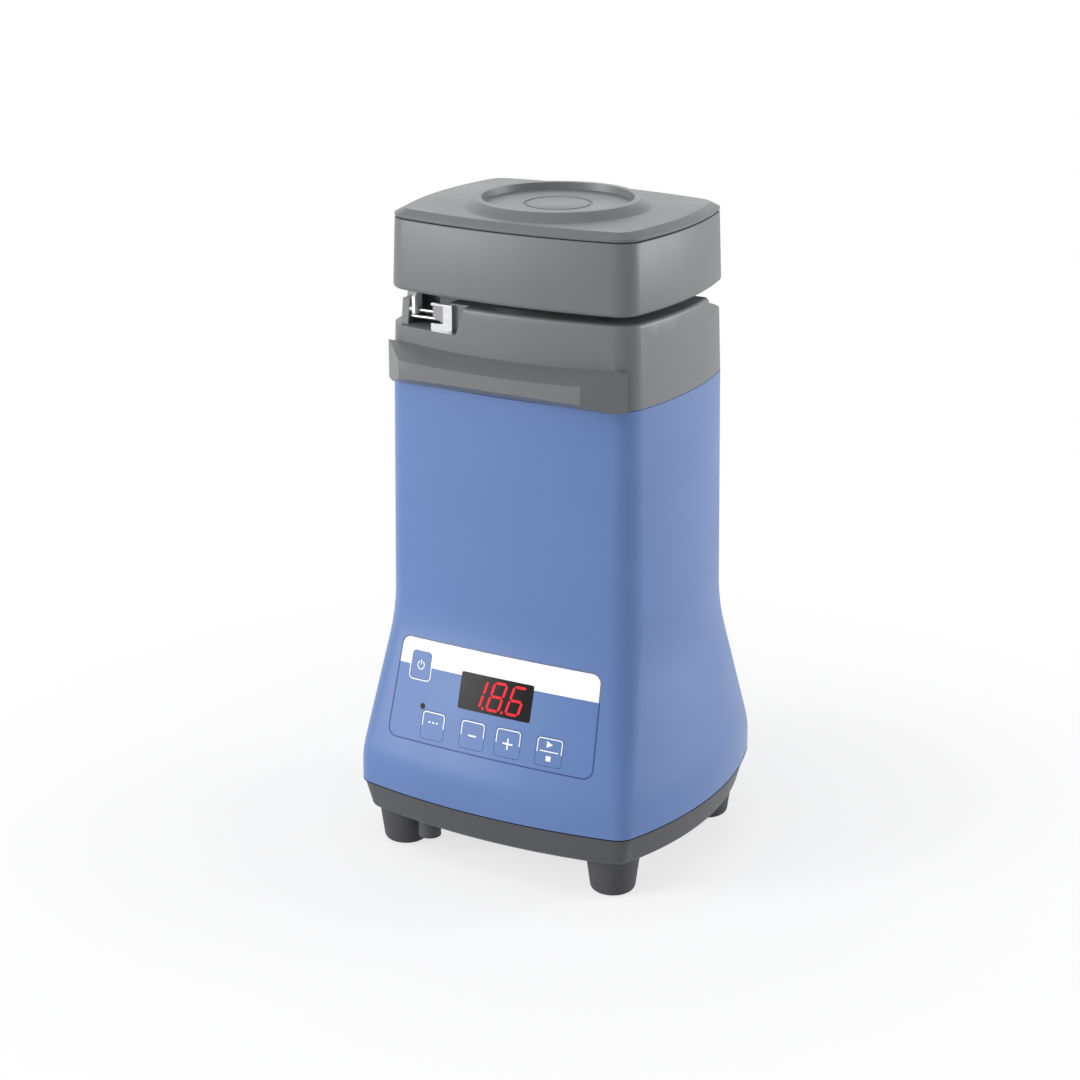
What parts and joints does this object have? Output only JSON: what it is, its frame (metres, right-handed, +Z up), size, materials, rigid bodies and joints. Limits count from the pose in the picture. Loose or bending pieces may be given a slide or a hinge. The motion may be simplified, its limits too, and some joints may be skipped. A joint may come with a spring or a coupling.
{
  "type": "analytical mill",
  "caption": "Bench-top analytical mill: flared blue housing with a slanted key panel, steel grinding bowl with a blade under a square hinged, latched lid, on rubber feet.",
  "frame": {"origin": "on the bench under the middle of the housing's foot", "axes": "+Z up, -Y towards the front with the key panel, +X to the right as seen from the front"},
  "size_m": [0.14, 0.1226, 0.26],
  "materials": {
    "blue_plastic": "satin moulded",
    "grey_plastic": "satin moulded",
    "dark_plastic": "satin moulded",
    "foot_rubber": "matt",
    "seal_rubber": "matt",
    "black_plastic": "matt",
    "panel_foil": "satin foil",
    "dark_window": "gloss",
    "bright_steel": "polished",
    "stainless": "brushed",
    "steel": "zinc plated",
    "cast_alloy": "as cast",
    "lamination": "stacked sheet",
    "copper": "enamelled",
    "brass": "plated",
    "carbon": "matt",
    "circuit_board": "lacquered"
  },
  "bodies": {
    "base": {"base_pan": "dark_plastic", "housing": "blue_plastic", "motor_plate": "cast_alloy", "collar": "grey_plastic", "collar_screws": "steel", "lid_switch": "black_plastic", "tie_rods": "steel", "milling_bowl": "stainless", "bowl_gasket": "seal_rubber", "shaft_seal": "seal_rubber", "latch_pivot_pin": "bright_steel", "latch_stop_pin": "bright_steel", "latch_bracket": "bright_steel", "latch_spring": "steel", "hinge_pin": "steel", "upper_bearing": "steel", "lower_bearing": "steel", "motor_bracket": "cast_alloy", "motor_bolts": "steel", "stator_core": "lamination", "field_coils": "copper", "brush_holders": "black_plastic", "carbon_brushes": "carbon", "front_panel": "panel_foil", "display_window": "dark_window", "indicator_light": "dark_window", "display_board": "circuit_board", "display_module": "black_plastic", "key_switches": "black_plastic", "board_screws": "steel", "mains_board": "circuit_board", "mains_screws": "steel", "mains_inlet": "black_plastic", "inlet_contacts": "brass", "inlet_screws": "steel", "foot_front_left": "foot_rubber", "foot_front_right": "foot_rubber", "foot_rear_left": "foot_rubber", "foot_rear_right": "foot_rubber"},
    "lid": {"lid_skirt": "grey_plastic", "lid_cap": "grey_plastic", "lid_screws": "steel", "lid_liner": "stainless", "lid_seal": "seal_rubber", "lid_magnet": "steel", "latch_keeper": "bright_steel"},
    "hook": {"latch_hook": "bright_steel"},
    "rotor": {"motor_shaft": "steel", "armature_core": "lamination", "armature_winding": "copper", "commutator": "copper", "cooling_fan": "black_plastic", "milling_blade": "stainless", "blade_nut": "stainless"},
    "key_power": {"key_power": "panel_foil"},
    "key_interval": {"key_interval": "panel_foil"},
    "key_minus": {"key_minus": "panel_foil"},
    "key_plus": {"key_plus": "panel_foil"},
    "key_start": {"key_start": "panel_foil"}
  },
  "joints": [
    {"name": "lid_hinge", "type": "hinge", "parent": "base", "child": "lid", "pos_m": [0, 0.0379, 0.225], "axis": [-1, 0, 0], "range_deg": [0, 95]},
    {"name": "hook_pivot", "type": "hinge", "parent": "base", "child": "hook", "pos_m": [-0.0423, -0.034, 0.2183], "axis": [-1, 0, 0], "range_deg": [0, 10], "stiffness_Nm_per_rad": 0.05, "springref_deg": -5.73},
    {"name": "rotor_spin", "type": "hinge", "parent": "base", "child": "rotor", "pos_m": [0, 0, 0.128], "axis": [0, 0, 1], "continuous": true},
    {"name": "key_power_press", "type": "slide", "parent": "base", "child": "key_power", "axis": [0, 0.9602, -0.2791], "range_m": [0, 0.0005], "stiffness_N_per_m": 600, "springref_m": -0.0005},
    {"name": "key_interval_press", "type": "slide", "parent": "base", "child": "key_interval", "axis": [0, 0.9602, -0.2791], "range_m": [0, 0.0005], "stiffness_N_per_m": 600, "springref_m": -0.0005},
    {"name": "key_minus_press", "type": "slide", "parent": "base", "child": "key_minus", "axis": [0, 0.9602, -0.2791], "range_m": [0, 0.0005], "stiffness_N_per_m": 600, "springref_m": -0.0005},
    {"name": "key_plus_press", "type": "slide", "parent": "base", "child": "key_plus", "axis": [0, 0.9602, -0.2791], "range_m": [0, 0.0005], "stiffness_N_per_m": 600, "springref_m": -0.0005},
    {"name": "key_start_press", "type": "slide", "parent": "base", "child": "key_start", "axis": [0, 0.9602, -0.2791], "range_m": [0, 0.0005], "stiffness_N_per_m": 600, "springref_m": -0.0005}
  ]
}
